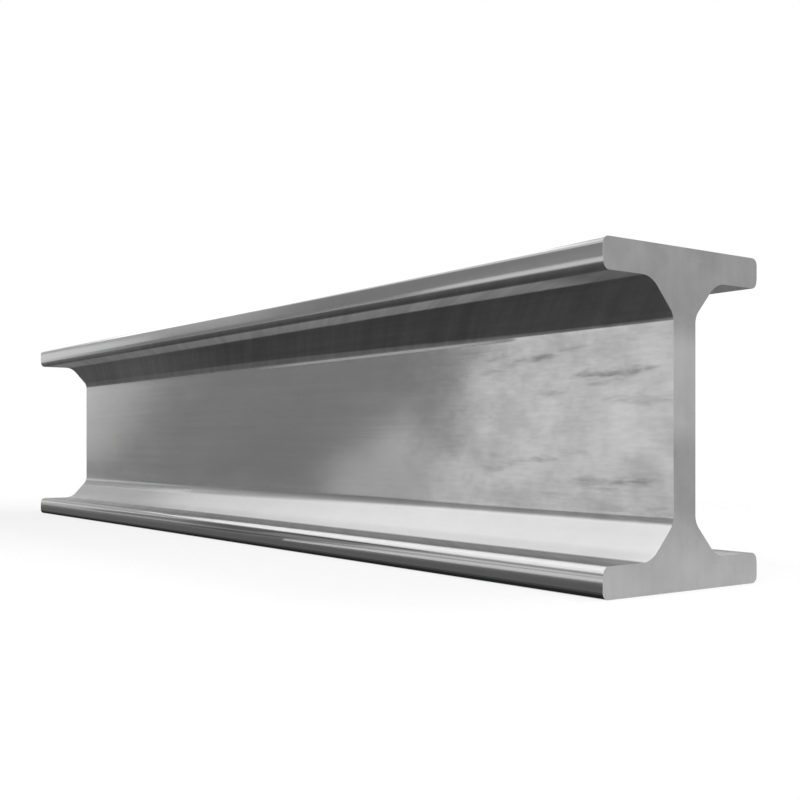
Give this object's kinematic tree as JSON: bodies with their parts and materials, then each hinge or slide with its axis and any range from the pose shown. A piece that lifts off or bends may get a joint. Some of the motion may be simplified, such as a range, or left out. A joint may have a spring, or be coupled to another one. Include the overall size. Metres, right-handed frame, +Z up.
{
  "type": "steel i-beam",
  "caption": "Short length of rolled steel I-beam with parallel flanges, a thick web, straight haunches and sawn ends, used as a joist, lintel or strut.",
  "frame": {"origin": "on the underside of the lower flange, under the middle of the beam's length and width", "axes": "+X along the beam, +Y across the flanges, +Z up through the web to the upper flange"},
  "size_m": [0.6, 0.086, 0.127],
  "materials": {
    "rolled_steel": "satin rolled steel with fine lengthwise streaks, plain sawn ends"
  },
  "bodies": {
    "root": {"i_beam": "rolled_steel"}
  },
  "joints": []
}
